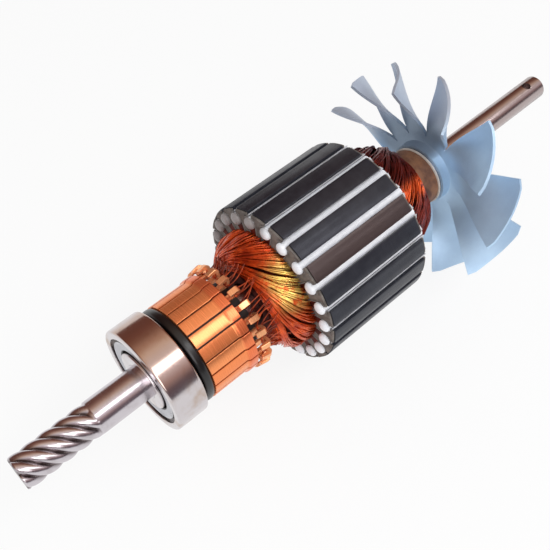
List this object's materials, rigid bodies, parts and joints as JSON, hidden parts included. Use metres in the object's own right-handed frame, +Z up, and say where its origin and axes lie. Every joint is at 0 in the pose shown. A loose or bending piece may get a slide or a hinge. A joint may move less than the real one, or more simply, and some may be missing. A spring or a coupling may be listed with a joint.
{
  "type": "universal motor armature",
  "caption": "Wound commutator-motor armature on a worm-ended shaft with a ball bearing, slotted laminated core, copper end windings and a twisted-blade sheet fan.",
  "frame": {"origin": "on the shaft's axis, at the middle of the ball bearing's width", "axes": "+X along the shaft from the worm pinion to the plain tail, +Z up, +Y to the left seen from the pinion"},
  "size_m": [0.194, 0.0662, 0.0662],
  "materials": {
    "ground_steel": "ground and oiled",
    "bearing_steel": "polished",
    "shield_steel": "rolled bright",
    "ball_steel": "polished",
    "cage_steel": "pressed",
    "black_moulding": "glossy black moulding",
    "brown_moulding": "dark phenolic moulding",
    "commutator_copper": "turned copper",
    "enamelled_wire": "enamelled copper wire",
    "varnished_wire": "copper wire under dark varnish",
    "lamination_steel": "blued electrical steel",
    "fibre_board": "pressed fibre",
    "slot_paper": "insulating paper",
    "wedge_plastic": "white plastic rod",
    "tan_sleeve": "tan insulating sleeve",
    "pale_washer": "pale insulating washer",
    "fan_aluminium": "rolled sheet"
  },
  "bodies": {
    "bearing_housing_side": {"bearing_outer_ring": "bearing_steel", "bearing_front_shield": "shield_steel", "bearing_rear_shield": "shield_steel"},
    "ball_set": {"bearing_balls": "ball_steel", "bearing_cage": "cage_steel"},
    "rotor": {"shaft": "ground_steel", "bearing_inner_ring": "bearing_steel", "insulating_ring": "black_moulding", "commutator_core": "brown_moulding", "commutator_bar_01": "commutator_copper", "commutator_bar_02": "commutator_copper", "commutator_bar_03": "commutator_copper", "commutator_bar_04": "commutator_copper", "commutator_bar_05": "commutator_copper", "commutator_bar_06": "commutator_copper", "commutator_bar_07": "commutator_copper", "commutator_bar_08": "commutator_copper", "commutator_bar_09": "commutator_copper", "commutator_bar_10": "commutator_copper", "commutator_bar_11": "commutator_copper", "commutator_bar_12": "commutator_copper", "commutator_bar_13": "commutator_copper", "commutator_bar_14": "commutator_copper", "commutator_bar_15": "commutator_copper", "commutator_bar_16": "commutator_copper", "commutator_bar_17": "commutator_copper", "commutator_bar_18": "commutator_copper", "commutator_bar_19": "commutator_copper", "commutator_bar_20": "commutator_copper", "commutator_bar_21": "commutator_copper", "commutator_bar_22": "commutator_copper", "winding_leads": "enamelled_wire", "core_stack": "lamination_steel", "front_end_insulator": "fibre_board", "rear_end_insulator": "fibre_board", "slot_liners": "slot_paper", "slot_wedges": "wedge_plastic", "slot_coils": "enamelled_wire", "front_winding": "enamelled_wire", "rear_winding": "varnished_wire", "rear_sleeve": "tan_sleeve", "rear_washer": "pale_washer", "fan_hub": "fan_aluminium", "fan": "fan_aluminium"}
  },
  "joints": [
    {"name": "rotor_spin", "type": "hinge", "parent": "bearing_housing_side", "child": "rotor", "pos_m": [0, 0, 0], "axis": [1, 0, 0], "continuous": true},
    {"name": "ball_orbit", "type": "hinge", "parent": "bearing_housing_side", "child": "ball_set", "pos_m": [0, 0, 0], "axis": [1, 0, 0], "continuous": true}
  ],
  "couplings": [
    {"joint": "ball_orbit", "follows": "rotor_spin", "ratio": 0.381}
  ]
}
